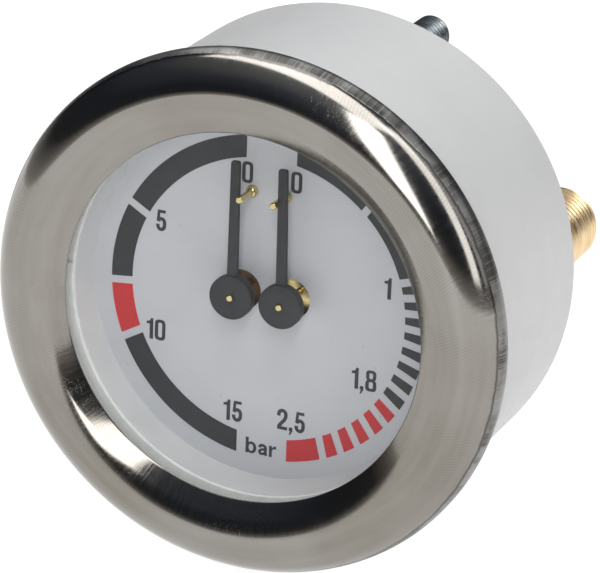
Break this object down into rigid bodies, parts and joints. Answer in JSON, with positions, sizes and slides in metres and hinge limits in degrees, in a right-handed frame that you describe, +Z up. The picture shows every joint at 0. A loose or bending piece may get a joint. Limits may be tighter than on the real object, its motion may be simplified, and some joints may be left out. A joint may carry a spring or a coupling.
{
  "type": "pressure gauge",
  "caption": "Round panel pressure gauge with twin pointers on concentric half scales, steel bezel, light plastic case, rear fixing studs and threaded brass connections.",
  "frame": {"origin": "midway between the two fixing studs, on the rear face of the case", "axes": "+Y out of the rear along the studs and connections, the dial faces -Y, +Z up the dial, +X to the right of the dial as read"},
  "size_m": [0.0644, 0.0604, 0.0644],
  "materials": {
    "case_plastic": "satin",
    "bezel_steel": "polished",
    "window_glass": "clear",
    "ring_plastic": "matt white",
    "gasket_rubber": "matt",
    "dial_enamel": "matt",
    "pointer_black": "matt",
    "brass": "satin",
    "spring_bronze": "satin",
    "zinc_steel": "zinc plated"
  },
  "bodies": {
    "housing": {"case": "case_plastic", "bezel": "bezel_steel", "window": "window_glass", "window_gasket": "gasket_rubber", "spacer_ring": "ring_plastic", "dial_plate": "dial_enamel", "fixing_stud_top": "zinc_steel", "fixing_stud_bottom": "zinc_steel", "left_stop_pin": "brass", "left_socket_seal": "gasket_rubber", "left_socket": "brass", "left_socket_screws": "zinc_steel", "left_restrictor_screw": "brass", "left_bourdon_tube": "spring_bronze", "left_hairspring": "spring_bronze", "left_hairspring_stud": "brass", "left_back_plate": "brass", "left_front_plate": "brass", "left_pillars": "brass", "left_plate_screws": "zinc_steel", "left_mounting_screws": "zinc_steel", "right_stop_pin": "brass", "right_socket_seal": "gasket_rubber", "right_socket": "brass", "right_socket_screws": "zinc_steel", "right_restrictor_screw": "brass", "right_bourdon_tube": "spring_bronze", "right_hairspring": "spring_bronze", "right_hairspring_stud": "brass", "right_back_plate": "brass", "right_front_plate": "brass", "right_pillars": "brass", "right_plate_screws": "zinc_steel", "right_mounting_screws": "zinc_steel"},
    "left_pointer_arbor": {"left_pinion_arbor": "brass", "left_pointer": "pointer_black", "left_hairspring_collet": "brass"},
    "left_sector_gear": {"left_sector": "brass", "left_sector_arbor": "zinc_steel", "left_sector_link_pin": "brass"},
    "left_tube_tip": {"left_tip_piece": "brass", "left_tip_link_pin": "brass"},
    "left_link_bar": {"left_link": "brass"},
    "right_pointer_arbor": {"right_pinion_arbor": "brass", "right_pointer": "pointer_black", "right_hairspring_collet": "brass"},
    "right_sector_gear": {"right_sector": "brass", "right_sector_arbor": "zinc_steel", "right_sector_link_pin": "brass"},
    "right_tube_tip": {"right_tip_piece": "brass", "right_tip_link_pin": "brass"},
    "right_link_bar": {"right_link": "brass"}
  },
  "joints": [
    {"name": "right_sector_swing", "type": "hinge", "parent": "housing", "child": "right_sector_gear", "pos_m": [0.01079, -0.0165, 0.00797], "axis": [0, 1, 0], "range_deg": [-30, 0]},
    {"name": "right_pointer_turn", "type": "hinge", "parent": "housing", "child": "right_pointer_arbor", "pos_m": [0.00315, -0.0165, 0.00076], "axis": [0, 1, 0], "range_deg": [0, 180], "deforming": ["right_hairspring"]},
    {"name": "right_tip_travel", "type": "hinge", "parent": "housing", "child": "right_tube_tip", "pos_m": [0.01101, -0.0165, -0.00077], "axis": [0, 1, 0], "range_deg": [-11.69, 0], "deforming": ["right_bourdon_tube"]},
    {"name": "right_link_swing", "type": "hinge", "parent": "right_tube_tip", "child": "right_link_bar", "pos_m": [0.01783, -0.0165, 0.00996], "axis": [0, 1, 0], "range_deg": [0, 13.06]},
    {"name": "left_sector_swing", "type": "hinge", "parent": "housing", "child": "left_sector_gear", "pos_m": [-0.01079, -0.0165, 0.00797], "axis": [0, 1, 0], "range_deg": [0, 30]},
    {"name": "left_pointer_turn", "type": "hinge", "parent": "housing", "child": "left_pointer_arbor", "pos_m": [-0.00315, -0.0165, 0.00076], "axis": [0, 1, 0], "range_deg": [-180, 0], "deforming": ["left_hairspring"]},
    {"name": "left_tip_travel", "type": "hinge", "parent": "housing", "child": "left_tube_tip", "pos_m": [-0.01101, -0.0165, -0.00077], "axis": [0, 1, 0], "range_deg": [0, 11.69], "deforming": ["left_bourdon_tube"]},
    {"name": "left_link_swing", "type": "hinge", "parent": "left_tube_tip", "child": "left_link_bar", "pos_m": [-0.01783, -0.0165, 0.00996], "axis": [0, 1, 0], "range_deg": [-13.06, 0]}
  ],
  "couplings": [
    {"joint": "right_pointer_turn", "follows": "right_sector_swing", "ratio": -6},
    {"joint": "right_tip_travel", "follows": "right_sector_swing", "ratio": 0.38953},
    {"joint": "right_link_swing", "follows": "right_sector_swing", "ratio": -0.435},
    {"joint": "left_pointer_turn", "follows": "left_sector_swing", "ratio": -6},
    {"joint": "left_tip_travel", "follows": "left_sector_swing", "ratio": 0.38953},
    {"joint": "left_link_swing", "follows": "left_sector_swing", "ratio": -0.435}
  ]
}
